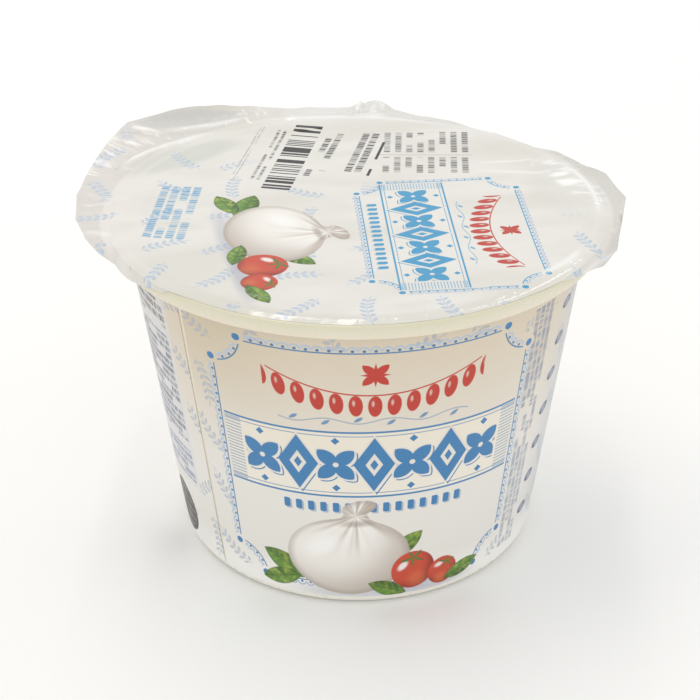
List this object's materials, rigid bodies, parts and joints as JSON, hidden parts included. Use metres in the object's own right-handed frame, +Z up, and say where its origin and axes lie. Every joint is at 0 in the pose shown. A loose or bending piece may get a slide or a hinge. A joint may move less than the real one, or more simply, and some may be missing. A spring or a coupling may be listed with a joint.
{
  "type": "sealed tub of burrata",
  "caption": "Sealed plastic tub of soft fresh cheese: tapered cup with a flat rim, a printed wrap label and a thin film lid with a peel tab.",
  "frame": {"origin": "centre of the cup's base, on the surface it stands on", "axes": "+Z up along the cup's axis, -Y towards the front of the label, the film's peel tab at the back left (-X, +Y)"},
  "size_m": [0.1066, 0.1009, 0.0721],
  "materials": {
    "tub": "satin translucent moulded plastic, natural cream",
    "label": "coated printed paper, cream with blue print",
    "lid": "glossy heat-sealed printed film with a clear margin"
  },
  "bodies": {
    "root": {"tub": "tub", "label": "label", "lid": "lid"}
  },
  "joints": []
}
